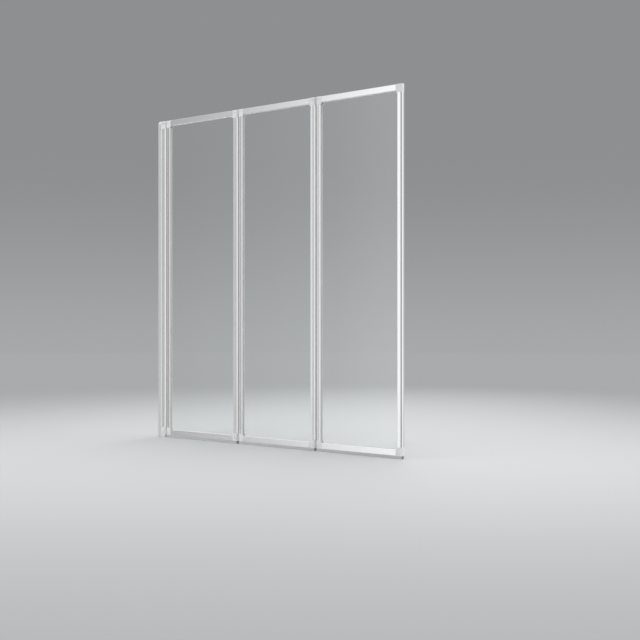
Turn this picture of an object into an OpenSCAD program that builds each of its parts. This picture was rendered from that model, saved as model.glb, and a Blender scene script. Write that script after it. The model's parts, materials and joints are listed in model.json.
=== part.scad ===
// Folding bath screen: three framed glass panels on double-pin link hinges.
// X runs away from the wall, Z is up, and the -Y side faces the room.
// The origin lies on the wall face, in the middle of the frame's thickness,
// at the level of the bath rim that the bottom seals rest on.

/* [Screen] */
// Height from the bath rim to the top of the frame
screen_h = 1400; // [900:10:1700]
// Width of the panel next to the wall, over both of its rounded edges
wall_panel_w = 417; // [300:1:600]
// Width of each of the other two panels, over both rounded edges
panel_w = 402; // [280:1:580]
// Distance from the wall to the rounded edge of the wall hinge
wall_reach = 42.4; // [40:0.1:48]

/* [Frame profile] */
// Radius of the rounded outer edge; the frame is twice as thick
nose_r = 10; // [9:0.25:11]
// Flat part of a stile, from the hinge axis to the glass opening
stile_flat = 13.5; // [13:0.5:24]
// Height of the top and bottom rails
rail_h = 24; // [22:0.5:40]
// Wall thickness of the extrusions
wall_t = 1.6; // [1.2:0.1:2]
// Rounding of the long edges beside the glass
edge_r = 2.5; // [1:0.5:3.5]
// Width of the shadow lines along the extrusions
line_w = 1; // [0.6:0.1:1.4]
// Depth of the shadow lines along the extrusions
line_h = 0.4; // [0.2:0.05:0.6]

/* [Glazing] */
// Thickness of the safety glass
glass_t = 4; // [3:0.5:4.5]
// Thickness of the glazing gasket on each side of the glass
gasket_t = 2; // [1.5:0.1:2.2]
// Depth that the glass edge enters the frame
glass_bite = 6; // [4:0.5:8]
// Thickness of the gasket's web around the glass edge
gasket_web = 1.2; // [0.8:0.1:1.4]
// Height that the gasket lip stands out of the frame
gasket_lip = 1; // [0.5:0.1:2]

/* [Corner pieces] */
// Width of a corner piece beyond the hinge axis
corner_reach = 18.5; // [16:0.5:30]
// Height of a corner piece
corner_h = 32; // [30:0.5:50]
// Rounding of the corner piece at the glass opening
corner_round = 4.5; // [2:0.5:6]
// Amount that the corner piece stands proud of the profiles
corner_proud = 0.2; // [0.1:0.05:0.3]
// Step from the outer edge of a top corner piece down to the top rail
rail_step = 1; // [0.2:0.1:1.2]
// Length of the tongues that push into the profiles
tongue_l = 14; // [10:1:25]

/* [Link hinge] */
// Clear gap between the rounded edges of two neighbouring panels
joint_gap = 2.2; // [1.8:0.1:4]
// Radius of a hinge pin
pin_r = 2.5; // [2:0.1:3]
// Depth of the pin's outer end below the outer face of its corner piece
pin_sink = 3; // [1:0.5:4]
// Thickness of a link plate
link_t = 4; // [3:0.5:5]
// Thickness of the corner piece between its link slot and the glass pocket
slot_wall = 3; // [2:0.5:4]
// Half the width of a link plate at its waist
link_waist = 5.5; // [4:0.5:6]
// Thickness of the soft strip that closes the joint
strip_t = 1.1; // [0.8:0.1:1.2]
// Width of the soft strip that closes the joint
strip_w = 13; // [9:0.5:15]

/* [Bottom seal] */
// Height of the seal between the bath rim and the frame
seal_h = 10.6; // [8:0.2:16]
// Thickness of the seal's walls and lips
seal_t = 1.4; // [1:0.1:1.8]
// Distance that the seal runs past the hinge axis
seal_past_axis = 5.5; // [3:0.5:6]

/* [Wall profile] */
// Distance that the wall profile stands out from the wall
channel_depth = 22.4; // [20:0.2:26]
// Wall thickness of the wall profile
channel_t = 1.4; // [1.2:0.1:1.5]
// Length of the slope along the free edges of the wall profile
channel_bevel = 5.5; // [3:0.5:8]
// Height of the top end cap, with its rounded corner at the wall
cap_h = 11; // [8:0.5:16]
// Number of screw holes in the wall profile
wall_holes = 4; // [3:1:6]
// Distance between neighbouring wall screw holes
wall_hole_pitch = 400; // [120:10:500]
// Radius of a wall screw hole
wall_hole_r = 2.6; // [2:0.1:3]
// Number of clamp screws that lock the adjusting profile
clamp_count = 3; // [2:1:5]
// Distance from each end of the screen to the first clamp screw
clamp_inset = 120; // [60:5:250]

/* [Fasteners] */
// Radius of a corner screw's thread
screw_r = 1.5; // [1.2:0.1:1.6]
// Radius of a corner screw's head
screw_head_r = 2.6; // [2.2:0.1:2.7]
// Depth of a corner screw in its stile
screw_grip = 16; // [10:1:30]

/* [Hidden] */
$fn = 96;
EPS = 0.01;
FIT = 0.02;           // a pressed pin in its bore
RUN = 0.06;           // a pin that turns in its bore
SLIP = 0.2;           // a tongue in its profile
CLEAR = 0.3;          // faces that pass each other
SLIDE = 0.1;          // the adjusting profile in the wall profile

axis_gap = 2 * nose_r + joint_gap;
frame_z0 = seal_h;
frame_h = screen_h - frame_z0;

// Distance between the two hinge axes of each panel, and the axes along X.
span = [wall_panel_w - 2 * nose_r, panel_w - 2 * nose_r, panel_w - 2 * nose_r];
wall_axis = wall_reach - nose_r;
left_axis = [
    wall_axis + axis_gap,
    wall_axis + 2 * axis_gap + span[0],
    wall_axis + 3 * axis_gap + span[0] + span[1]
];
link_axis = [wall_axis, left_axis[0] + span[0], left_axis[1] + span[1]];

face_y = nose_r;
slot_y = glass_t / 2 + gasket_t;             // half the glazing channel
channel_x0 = stile_flat - glass_bite - gasket_web - SLIP;
rail_web_z = rail_h - glass_bite - gasket_web - SLIP;
chamber_r = nose_r - wall_t;
chamber_x = channel_x0 - wall_t;
slot_h = link_t + 2 * CLEAR;
slot_inset = rail_web_z - slot_wall - slot_h;
link_eye_r = nose_r - CLEAR - SLIDE;
slot_r = link_eye_r + 2 * CLEAR;
slot_back = link_waist + 2 * CLEAR;
pin_l = corner_h - 2 * pin_sink;

// The corner screws stand beside the glass, clear of the link slot.
port_y = (slot_y + face_y) / 2;
port_wall = 0.5;      // left between the link slot and a corner screw
port_ring = slot_r + screw_r + port_wall;
port_x = sqrt(port_ring * port_ring - port_y * port_y);
port_r = screw_r - SLIDE;
head_sink = 0.3;      // a corner screw's head below the outer face
head_h = screw_head_r - screw_r;
cross_w = 0.6;        // the crossed slots in a corner screw's head
cross_l = 3;
cross_h = 0.6;

opening_r = min(corner_round, corner_reach - stile_flat, corner_h - rail_h);

channel_in_y = face_y + SLIDE;
cap_y = channel_in_y + channel_t;            // half the wall profile's thickness
channel_lip = 0.5;    // the blunt edge that the slope leaves
adjust_x0 = 9;
foot_past_axis = 5;
clamp_x = 15;
clamp_step = (screen_h - 2 * clamp_inset) / (clamp_count - 1);
clamp_head_r = 3.4;
clamp_head_h = 2;
clamp_r = 1.9;
clamp_l = 9;
cover_r = 4.6;
cover_h = 3.2;
cover_edge = 1;       // the slope round a cover's edge
clamp_cross_w = 0.8;
clamp_cross_h = 1;
wall_hole_z0 = (screen_h - (wall_holes - 1) * wall_hole_pitch) / 2;

outer_r = 1.2;        // rounding of the frame's outermost long edges
line_x = 1.6;         // a stile's shadow line, from the hinge axis
line_turn = 34;       // the free stile's shadow line, round its nose
channel_line_x = 12;  // the wall profile's shadow line, from the wall
seal_half = nose_r - 1.5;                    // half the seal's width
seal_mid_z = seal_h / 3;                     // foot of the seal's middle wall
groove_w = 3;
groove_h = 1.6;
bead_w = 6;
bead_h = 2;

ALU = [0.80, 0.81, 0.81];
NYLON = [0.86, 0.87, 0.87];
STRIP = [0.50, 0.51, 0.52];
SEAL = [0.66, 0.68, 0.68];
STEEL = [0.70, 0.71, 0.72];
GLASS = [0.82, 0.90, 0.88, 0.35];

// ---- Places. A panel is drawn with its left hinge axis at X = 0. ----
module on_panel(p) {
    translate([left_axis[p], 0, 0]) children();
}
module at_right(p) {
    translate([span[p], 0, 0]) mirror([1, 0, 0]) children();
}
module at_base() {
    translate([0, 0, frame_z0]) children();
}
module at_top() {
    translate([0, 0, screen_h]) mirror([0, 0, 1]) children();
}
module four_corners(p) {
    at_base() children();
    at_top() children();
    at_base() at_right(p) children();
    at_top() at_right(p) children();
}

// ---- Outlines ----
// A bar from x0 to x1 with its two far edges rounded.
module soft_bar(x0, x1, half, r) {
    translate([x0, -half]) square([x1 - r - x0, 2 * half]);
    translate([x1 - r - EPS, -half + r]) square([r + EPS, 2 * (half - r)]);
    translate([x1 - r, half - r]) circle(r);
    translate([x1 - r, r - half]) circle(r);
}
// The same bar, standing up from 0, with all four edges rounded.
module soft_post(top, half, r, foot_r) {
    rotate(90) soft_bar(foot_r, top, half, r);
    translate([-half + foot_r, 0]) square([2 * (half - foot_r), foot_r + EPS]);
    translate([half - foot_r, foot_r]) circle(foot_r);
    translate([foot_r - half, foot_r]) circle(foot_r);
}
// The stile's outside: a rounded nose about the hinge axis and a flat part.
module stile_outside() {
    circle(nose_r);
    soft_bar(0, stile_flat, face_y, edge_r);
}
// The hollow in the nose, made smaller by a gap for the tongue that fills it.
module nose_chamber(gap) {
    circle(chamber_r - gap);
    translate([0, gap - chamber_r]) square([chamber_x - gap, 2 * (chamber_r - gap)]);
}
module glazing_channel(x0) {
    translate([x0, -slot_y]) square([nose_r + stile_flat, 2 * slot_y]);
}
module screw_ports() {
    for (side = [-1, 1])
        translate([port_x, side * port_y]) circle(port_r);
}
// A pair of shadow lines, one on each face, at a place along the section.
module shadow_lines(x, half) {
    for (side = [-1, 1])
        translate([x - line_w / 2, side * half - line_h]) square([line_w, 2 * line_h]);
}
// The free stile has its shadow lines on the nose, where no neighbour hides them.
module nose_lines() {
    for (turn = [90 + line_turn, 270 - line_turn])
        rotate(turn) translate([nose_r - line_h, -line_w / 2]) square([2 * line_h, line_w]);
}
module stile_section(hinged) {
    difference() {
        stile_outside();
        nose_chamber(0);
        glazing_channel(channel_x0);
        screw_ports();
        if (hinged) {
            shadow_lines(line_x, face_y);
        } else {
            nose_lines();
        }
    }
}
// The rail's section, with its outer edge at 0 and the glass side upward.
module rail_section(groove) {
    step = groove ? 0 : rail_step;
    difference() {
        translate([0, step]) soft_post(rail_h - step, face_y, edge_r, outer_r);
        rail_chamber(0);
        translate([-slot_y, rail_web_z]) square([2 * slot_y, rail_h]);
        if (groove) seal_groove();
    }
}
module rail_chamber(gap) {
    floor_z = wall_t + groove_h + bead_h + wall_t;
    translate([gap - face_y + wall_t, floor_z + gap])
        square([2 * (face_y - wall_t - gap), rail_web_z - wall_t - floor_z - 2 * gap]);
}
module seal_groove() {
    translate([-groove_w / 2 - FIT, -EPS]) square([groove_w + 2 * FIT, groove_h + bead_h]);
    translate([-bead_w / 2 - FIT, groove_h]) square([bead_w + 2 * FIT, bead_h + FIT]);
}

// ---- Profiles of a panel ----
module stile(hinged) {
    translate([0, 0, frame_z0 + corner_h])
        linear_extrude(frame_h - 2 * corner_h) stile_section(hinged);
}
module rail(p, groove) {
    translate([corner_reach, 0, 0])
        rotate([90, 0, 90]) linear_extrude(span[p] - 2 * corner_reach) rail_section(groove);
}

// ---- Corner piece, drawn at the bottom left with its outer end at Z = 0 ----
module corner_outside() {
    circle(nose_r);
    soft_bar(wall_t, corner_reach, face_y + corner_proud, edge_r);
}
// Cuts away the sharp corner where the piece meets the glass opening.
module opening_round() {
    translate([corner_reach - opening_r, nose_r * 2, corner_h - opening_r])
        rotate([90, 0, 0]) difference() {
            cube([opening_r * 2, opening_r * 2, 4 * nose_r]);
            translate([0, 0, -1]) cylinder(r = opening_r, h = 4 * nose_r + 2);
        }
}
// The block in plan, with its outer edges rounded as the rails' are.
module corner_block() {
    intersection() {
        linear_extrude(corner_h) corner_outside();
        translate([-2 * nose_r, 0, 0]) rotate([90, 0, 90])
            linear_extrude(2 * nose_r + corner_reach + 1)
                soft_post(corner_h + nose_r, face_y + corner_proud, edge_r, outer_r);
    }
}
// The pocket for the glass corner and its gasket.
module corner_pocket() {
    translate([channel_x0, -slot_y, rail_web_z]) cube([2 * nose_r + corner_reach, 2 * slot_y, corner_h]);
}
module link_slot() {
    translate([0, 0, slot_inset]) cylinder(r = slot_r, h = slot_h);
    translate([0, -2 * nose_r, slot_inset]) cube([slot_back, 4 * nose_r, slot_h]);
}
module pin_bore() {
    translate([0, 0, -EPS]) cylinder(r = pin_r + FIT, h = pin_sink + pin_l + EPS);
}
module screw_clearance() {
    for (side = [-1, 1])
        translate([port_x, side * port_y, -EPS]) {
            cylinder(r = screw_r + SLIP / 2, h = corner_h + 1);
            cylinder(r1 = screw_head_r + SLIP, r2 = screw_r, h = head_h + 3 * head_sink);
        }
}
module corner_piece(hinged) {
    difference() {
        union() {
            corner_block();
            translate([0, 0, corner_h - EPS]) linear_extrude(tongue_l) nose_chamber(SLIP);
            translate([corner_reach - EPS, 0, 0])
                rotate([90, 0, 90]) linear_extrude(tongue_l) rail_chamber(SLIP);
        }
        opening_round();
        corner_pocket();
        screw_clearance();
        if (hinged) {
            link_slot();
            pin_bore();
        }
    }
}
module corner_screw() {
    difference() {
        union() {
            translate([0, 0, head_sink]) cylinder(r1 = screw_head_r, r2 = screw_r, h = head_h);
            translate([0, 0, head_sink]) cylinder(r = screw_r, h = corner_h - head_sink);
            translate([0, 0, corner_h - EPS]) cylinder(r = port_r - FIT, h = screw_grip);
        }
        for (turn = [0, 90])
            rotate(turn) translate([-cross_l / 2, -cross_w / 2, 0])
                cube([cross_l, cross_w, head_sink + cross_h]);
    }
}
module corner_screw_pair() {
    for (side = [-1, 1])
        translate([port_x, side * port_y, 0]) corner_screw();
}
module hinge_pin() {
    translate([0, 0, pin_sink]) cylinder(r = pin_r, h = pin_l);
}

// ---- Glass, gasket and seal ----
module pane_block(p, grow, half) {
    side = stile_flat - glass_bite - grow;
    base = frame_z0 + rail_h - glass_bite - grow;
    translate([side, -half, base])
        cube([span[p] - 2 * side, 2 * half, screen_h + frame_z0 - 2 * base]);
}
module pane(p) {
    pane_block(p, 0, glass_t / 2);
}
module gasket(p) {
    lip = -glass_bite - gasket_lip;
    difference() {
        pane_block(p, gasket_web, slot_y);
        pane_block(p, 0, glass_t / 2);
        pane_block(p, lip, nose_r);
    }
}
// The seal's section: a front skirt, a middle wall and a back lip that curls in.
module seal_section() {
    curl_r = seal_h / 2;
    translate([-seal_half, seal_h - seal_t]) square([2 * seal_half, seal_t]);
    translate([-seal_half, 0]) square([seal_t, seal_h]);
    translate([-seal_t / 2, seal_mid_z]) square([seal_t, seal_h - seal_mid_z]);
    translate([seal_half - seal_t, curl_r]) square([seal_t, seal_h - curl_r]);
    translate([seal_half - curl_r, curl_r]) intersection() {
        difference() {
            circle(curl_r);
            circle(curl_r - seal_t);
        }
        translate([0, -2 * curl_r]) square([2 * curl_r, 2 * curl_r + EPS]);
    }
}
module seal_bead() {
    translate([-groove_w / 2, seal_h - EPS]) square([groove_w, groove_h + bead_h]);
    translate([-bead_w / 2, seal_h + groove_h + FIT]) square([bead_w, bead_h - 2 * FIT]);
}
module bottom_seal(p) {
    translate([-seal_past_axis, 0, 0])
        rotate([90, 0, 90]) linear_extrude(span[p] + 2 * seal_past_axis) seal_section();
    translate([corner_reach, 0, 0])
        rotate([90, 0, 90]) linear_extrude(span[p] - 2 * corner_reach) seal_bead();
}

// ---- Link hinge. A link is drawn with its first axis at X = 0. ----
module link_plate() {
    linear_extrude(link_t) difference() {
        union() {
            circle(link_eye_r);
            translate([axis_gap, 0]) circle(link_eye_r);
            translate([0, -link_waist]) square([axis_gap, 2 * link_waist]);
        }
        circle(pin_r + RUN);
        translate([axis_gap, 0]) circle(pin_r + RUN);
    }
}
module link_at(k) {
    translate([link_axis[k], 0, slot_inset + CLEAR]) link_plate();
}
module joint_strip(k) {
    inset = slot_inset + CLEAR + link_t;
    translate([link_axis[k] + axis_gap / 2 - strip_t / 2, -strip_w / 2, frame_z0 + inset])
        cube([strip_t, strip_w, frame_h - 2 * inset]);
}

// ---- Wall side ----
// One leg of the wall profile, sloped along its free edge.
module channel_leg() {
    polygon([
        [0, channel_in_y],
        [channel_depth, channel_in_y],
        [channel_depth, channel_in_y + channel_lip],
        [channel_depth - channel_bevel, cap_y],
        [0, cap_y]
    ]);
}
module channel_section() {
    difference() {
        union() {
            translate([0, -cap_y]) square([wall_t, 2 * cap_y]);
            channel_leg();
            mirror([0, 1]) channel_leg();
        }
        shadow_lines(channel_line_x, cap_y);
    }
}
module wall_profile() {
    color(ALU) difference() {
        linear_extrude(screen_h - cap_h) channel_section();
        for (i = [0 : wall_holes - 1])
            translate([-1, 0, wall_hole_z0 + i * wall_hole_pitch])
                rotate([0, 90, 0]) cylinder(r = wall_hole_r, h = wall_t + 2);
        clamp_places() cylinder(r = clamp_r + SLIP, h = 4 * channel_t, center = true);
    }
}
module clamp_places() {
    for (i = [0 : clamp_count - 1])
        translate([clamp_x, cap_y, clamp_inset + i * clamp_step]) rotate([-90, 0, 0]) children();
}
// The adjusting profile slides in the wall profile and ends in a nose.
module adjusting_section() {
    difference() {
        union() {
            circle(nose_r);
            translate([0, -face_y]) square([wall_axis - adjust_x0, 2 * face_y]);
        }
        circle(chamber_r);
        translate([0, -chamber_r]) square([wall_axis - adjust_x0 - wall_t, 2 * chamber_r]);
    }
}
module on_wall_axis() {
    translate([wall_axis, 0, 0]) mirror([1, 0, 0]) children();
}
module adjusting_profile() {
    color(ALU) difference() {
        on_wall_axis() translate([0, 0, frame_z0 + corner_h])
            linear_extrude(frame_h - 2 * corner_h) adjusting_section();
        clamp_places() cylinder(r = clamp_r + FIT, h = 8 * channel_t, center = true);
    }
}
module wall_hinge_block() {
    flat = wall_axis - channel_depth - CLEAR;
    inner = wall_axis - adjust_x0;
    difference() {
        union() {
            linear_extrude(corner_h) {
                circle(nose_r);
                translate([0, -face_y]) square([inner, 2 * face_y]);
            }
            translate([0, 0, corner_h - EPS]) linear_extrude(tongue_l) {
                circle(chamber_r - SLIP);
                translate([0, SLIP - chamber_r])
                    square([inner - wall_t - SLIP, 2 * (chamber_r - SLIP)]);
            }
        }
        translate([flat, -2 * nose_r, -EPS]) cube([inner, 4 * nose_r, cap_h + CLEAR]);
        link_slot();
        pin_bore();
    }
}
module wall_hinge_block_top() {
    color(NYLON) at_top() on_wall_axis() wall_hinge_block();
}
module wall_hinge_block_bottom() {
    color(NYLON) at_base() on_wall_axis() wall_hinge_block();
}
module wall_hinge_pins() {
    color(STEEL) {
        at_base() on_wall_axis() hinge_pin();
        at_top() on_wall_axis() hinge_pin();
    }
}
// The top cap closes the wall profile, rounded where it meets the wall.
module wall_cap_top() {
    color(NYLON) {
        difference() {
            translate([0, -cap_y, screen_h - cap_h]) cube([channel_depth, 2 * cap_y, cap_h]);
            translate([0, 2 * cap_y, screen_h - cap_h]) rotate([90, 0, 0]) cap_round();
            at_top() on_wall_axis() link_slot();
        }
        cap_tongue(screen_h - cap_h - tongue_l);
    }
}
module cap_round() {
    difference() {
        translate([-1, 0, 0]) cube([cap_h + 1, cap_h + 1, 4 * cap_y]);
        translate([cap_h, 0, -1]) cylinder(r = cap_h, h = 4 * cap_y + 2);
    }
}
module cap_tongue(z0) {
    translate([wall_t + SLIP, -face_y + SLIP, z0])
        cube([adjust_x0 - wall_t - 2 * SLIP, 2 * (face_y - SLIP), tongue_l + EPS]);
}
// The bottom cap stands on the rim, inside the wall profile and under the hinge block.
module wall_cap_bottom() {
    color(NYLON) {
        translate([wall_t + FIT, SLIP - face_y, 0])
            cube([channel_depth - wall_t - FIT, 2 * (face_y - SLIP), frame_z0]);
        cap_tongue(frame_z0 - EPS);
        translate([channel_depth - EPS, -seal_half, 0])
            cube([wall_axis + foot_past_axis - channel_depth, 2 * seal_half, frame_z0]);
    }
}
module clamp_screws() {
    color(STEEL) clamp_places() difference() {
        union() {
            cylinder(r = clamp_head_r, h = clamp_head_h);
            translate([0, 0, -clamp_l]) cylinder(r = clamp_r, h = clamp_l + EPS);
        }
        for (turn = [0, 90])
            rotate(turn) translate([-clamp_r, -clamp_cross_w / 2, clamp_head_h - clamp_cross_h])
                cube([2 * clamp_r, clamp_cross_w, 2 * clamp_cross_h]);
    }
}
module clamp_screw_covers() {
    color(NYLON) clamp_places() difference() {
        union() {
            cylinder(r = cover_r, h = cover_h - cover_edge);
            translate([0, 0, cover_h - cover_edge])
                cylinder(r1 = cover_r, r2 = cover_r - cover_edge, h = cover_edge);
        }
        translate([0, 0, -EPS]) cylinder(r = clamp_head_r + FIT, h = clamp_head_h + FIT);
    }
}

// ---- Links ----
module link_0_top() { color(NYLON) at_top() link_at(0); }
module link_0_bottom() { color(NYLON) at_base() link_at(0); }
module joint_strip_0() { color(STRIP) joint_strip(0); }
module link_1_top() { color(NYLON) at_top() link_at(1); }
module link_1_bottom() { color(NYLON) at_base() link_at(1); }
module joint_strip_1() { color(STRIP) joint_strip(1); }
module link_2_top() { color(NYLON) at_top() link_at(2); }
module link_2_bottom() { color(NYLON) at_base() link_at(2); }
module joint_strip_2() { color(STRIP) joint_strip(2); }

// ---- Sub-parts that every panel has ----
module stile_left(p) {
    color(ALU) on_panel(p) stile(true);
}
module stile_right(p) {
    color(ALU) on_panel(p) at_right(p) stile(p < 2);
}
module rail_top(p) {
    color(ALU) on_panel(p) at_top() rail(p, false);
}
module rail_bottom(p) {
    color(ALU) on_panel(p) at_base() rail(p, true);
}
module corner_top_left(p) {
    color(NYLON) on_panel(p) at_top() corner_piece(true);
}
module corner_bottom_left(p) {
    color(NYLON) on_panel(p) at_base() corner_piece(true);
}
module corner_top_right(p) {
    color(NYLON) on_panel(p) at_top() at_right(p) corner_piece(p < 2);
}
module corner_bottom_right(p) {
    color(NYLON) on_panel(p) at_base() at_right(p) corner_piece(p < 2);
}
module corner_screws(p) {
    color(STEEL) on_panel(p) four_corners(p) corner_screw_pair();
}
// The free edge of the last panel has no hinge, so it has no pins.
module hinge_pins(p) {
    color(STEEL) on_panel(p) {
        at_base() hinge_pin();
        at_top() hinge_pin();
        if (p < 2) {
            at_base() at_right(p) hinge_pin();
            at_top() at_right(p) hinge_pin();
        }
    }
}

// ---- Panel 1, next to the wall ----
module panel_1_stile_left() { stile_left(0); }
module panel_1_stile_right() { stile_right(0); }
module panel_1_rail_top() { rail_top(0); }
module panel_1_rail_bottom() { rail_bottom(0); }
module panel_1_corner_top_left() { corner_top_left(0); }
module panel_1_corner_top_right() { corner_top_right(0); }
module panel_1_corner_bottom_left() { corner_bottom_left(0); }
module panel_1_corner_bottom_right() { corner_bottom_right(0); }
module panel_1_glass() { color(GLASS) on_panel(0) pane(0); }
module panel_1_gasket() { color(SEAL) on_panel(0) gasket(0); }
module panel_1_bottom_seal() { color(SEAL) on_panel(0) bottom_seal(0); }
module panel_1_corner_screws() { corner_screws(0); }
module panel_1_hinge_pins() { hinge_pins(0); }

// ---- Panel 2, in the middle ----
module panel_2_stile_left() { stile_left(1); }
module panel_2_stile_right() { stile_right(1); }
module panel_2_rail_top() { rail_top(1); }
module panel_2_rail_bottom() { rail_bottom(1); }
module panel_2_corner_top_left() { corner_top_left(1); }
module panel_2_corner_top_right() { corner_top_right(1); }
module panel_2_corner_bottom_left() { corner_bottom_left(1); }
module panel_2_corner_bottom_right() { corner_bottom_right(1); }
module panel_2_glass() { color(GLASS) on_panel(1) pane(1); }
module panel_2_gasket() { color(SEAL) on_panel(1) gasket(1); }
module panel_2_bottom_seal() { color(SEAL) on_panel(1) bottom_seal(1); }
module panel_2_corner_screws() { corner_screws(1); }
module panel_2_hinge_pins() { hinge_pins(1); }

// ---- Panel 3, at the free end ----
module panel_3_stile_left() { stile_left(2); }
module panel_3_stile_right() { stile_right(2); }
module panel_3_rail_top() { rail_top(2); }
module panel_3_rail_bottom() { rail_bottom(2); }
module panel_3_corner_top_left() { corner_top_left(2); }
module panel_3_corner_top_right() { corner_top_right(2); }
module panel_3_corner_bottom_left() { corner_bottom_left(2); }
module panel_3_corner_bottom_right() { corner_bottom_right(2); }
module panel_3_glass() { color(GLASS) on_panel(2) pane(2); }
module panel_3_gasket() { color(SEAL) on_panel(2) gasket(2); }
module panel_3_bottom_seal() { color(SEAL) on_panel(2) bottom_seal(2); }
module panel_3_corner_screws() { corner_screws(2); }
module panel_3_hinge_pins() { hinge_pins(2); }

wall_profile();
adjusting_profile();
wall_cap_top();
wall_cap_bottom();
wall_hinge_block_top();
wall_hinge_block_bottom();
wall_hinge_pins();
clamp_screws();
clamp_screw_covers();
link_0_top();
link_0_bottom();
joint_strip_0();
link_1_top();
link_1_bottom();
joint_strip_1();
link_2_top();
link_2_bottom();
joint_strip_2();
panel_1_stile_left();
panel_1_stile_right();
panel_1_rail_top();
panel_1_rail_bottom();
panel_1_corner_top_left();
panel_1_corner_top_right();
panel_1_corner_bottom_left();
panel_1_corner_bottom_right();
panel_1_glass();
panel_1_gasket();
panel_1_bottom_seal();
panel_1_corner_screws();
panel_1_hinge_pins();
panel_2_stile_left();
panel_2_stile_right();
panel_2_rail_top();
panel_2_rail_bottom();
panel_2_corner_top_left();
panel_2_corner_top_right();
panel_2_corner_bottom_left();
panel_2_corner_bottom_right();
panel_2_glass();
panel_2_gasket();
panel_2_bottom_seal();
panel_2_corner_screws();
panel_2_hinge_pins();
panel_3_stile_left();
panel_3_stile_right();
panel_3_rail_top();
panel_3_rail_bottom();
panel_3_corner_top_left();
panel_3_corner_top_right();
panel_3_corner_bottom_left();
panel_3_corner_bottom_right();
panel_3_glass();
panel_3_gasket();
panel_3_bottom_seal();
panel_3_corner_screws();
panel_3_hinge_pins();
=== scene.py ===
# %% [markdown]
# # A folding bath screen
# The real object is held at one side and folds like a map: three panes of clear glass
# in silver anodised frames, joined by upright link hinges. Its solids come from the
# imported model, and each code cell adds one layer of looks: edges, profiles, seals,
# finishes, light. Everything is in metres, in the frame of the solids, so a piece that
# is drawn from the same sizes lands where it belongs.

# %% Load the solids
import json
import math

import bmesh
import bpy
from mathutils import Matrix, Vector


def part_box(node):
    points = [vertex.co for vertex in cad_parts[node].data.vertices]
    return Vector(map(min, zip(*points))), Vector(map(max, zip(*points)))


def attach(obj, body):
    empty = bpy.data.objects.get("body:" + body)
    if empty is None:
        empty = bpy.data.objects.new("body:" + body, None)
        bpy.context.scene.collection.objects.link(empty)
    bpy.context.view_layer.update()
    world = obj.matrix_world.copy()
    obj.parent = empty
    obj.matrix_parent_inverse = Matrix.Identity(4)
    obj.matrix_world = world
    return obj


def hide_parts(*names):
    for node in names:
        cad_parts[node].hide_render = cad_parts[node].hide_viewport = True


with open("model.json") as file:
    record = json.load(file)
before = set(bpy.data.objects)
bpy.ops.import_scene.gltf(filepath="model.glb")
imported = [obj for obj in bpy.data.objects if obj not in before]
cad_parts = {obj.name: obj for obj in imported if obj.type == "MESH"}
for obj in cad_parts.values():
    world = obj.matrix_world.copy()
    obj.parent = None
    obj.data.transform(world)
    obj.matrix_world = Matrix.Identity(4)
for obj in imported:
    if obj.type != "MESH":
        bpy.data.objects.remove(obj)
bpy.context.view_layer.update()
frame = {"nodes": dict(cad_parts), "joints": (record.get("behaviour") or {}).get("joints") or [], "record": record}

cad_nodes = frame["nodes"]
body_of_node = {
    name: body
    for body, names in frame["record"]["behaviour"]["bodies"].items()
    for name in names
}

# %% [markdown]
# The camera comes first, because it settles what every later choice is judged by. Its
# place was worked out from the straight edges of the screen: level, about half a metre
# above the floor, and 36 degrees to the right of square on. A level camera needs no
# shift, so the uprights stay upright.

# %% Camera
CAMERA_PLACE = (3.2553, -3.2482, 0.5183)
CAMERA_TURN = 36.14           # degrees to the right of square on
SENSOR_W, LENS = 36, 57.24    # millimetres
camera = bpy.data.objects.new("camera", bpy.data.cameras.new("camera"))
bpy.context.scene.collection.objects.link(camera)
camera.location = CAMERA_PLACE
camera.rotation_euler = (math.radians(90), 0, math.radians(CAMERA_TURN))
camera.data.sensor_width = SENSOR_W
camera.data.lens = LENS
bpy.context.scene.camera = camera
bpy.context.scene.view_settings.view_transform = "Standard"
print("camera", tuple(round(x, 3) for x in camera.location), camera.data.lens, "mm")

# %% [markdown]
# The sizes of the sections, in millimetres, as on the solids. Hinge axes are read from
# the joints, so that pieces built here stay on their pins.

# %% Sizes shared by the pieces
MM = 0.001
SCREEN_H = 1400.0
NOSE_R = 10.0         # the rounded outer edge of an upright
STILE_FLAT = 13.5     # from the hinge axis to the glass opening
RAIL_H = 24.0
RAIL_STEP = 1.0       # a top rail lies this much below its corner pieces
WALL_T = 1.6          # wall thickness of the extrusions
EDGE_R = 2.5          # rounding beside the glass
OUTER_R = 1.2         # rounding of the outermost long edges
GLASS_Y = 2.0         # half the glass thickness
GLASS_BITE = 6.0      # how deep the glass enters the frame
GASKET_WEB = 1.2      # the gasket round the edge of the glass
SLIP = 0.2            # play of the gasket in its channel
SLOT_Y = 4.0          # half the glazing channel
SEAL_H = 10.6
CORNER_REACH = 18.5   # a corner piece, from the hinge axis
CORNER_H = 32.0

PANELS = ("panel_1", "panel_2", "panel_3")
joint_x = {j["name"]: j["pos_m"][0] / MM for j in frame["joints"]}
left_pin = [joint_x[name] for name in ("wall_swing", "fold_1", "fold_2")]
free_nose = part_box("panel_3_stile_right")[1].x / MM - NOSE_R
right_pin = [joint_x["fold_1_link"], joint_x["fold_2_link"], free_nose]
print("pins at", [round(x, 1) for x in (*left_pin, *right_pin)], "mm")

# %% [markdown]
# Materials are networks of nodes, and most of the code that makes them only links one
# socket to the next. A few small helpers take that up, so that each finish below reads
# like a recipe. A value for an input may be a number, a colour, or another node's
# output, and the helper either sets it or links it.

# %% Helpers for nodes
UNIT = (0.0, 1.0)


def feed(tree, socket, value):
    """Links an input to another node's output, or sets its number or colour."""
    if isinstance(value, bpy.types.NodeSocket):
        tree.links.new(value, socket)
    elif socket.type == "RGBA":
        socket.default_value = (*value, 1)
    else:
        socket.default_value = value


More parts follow.
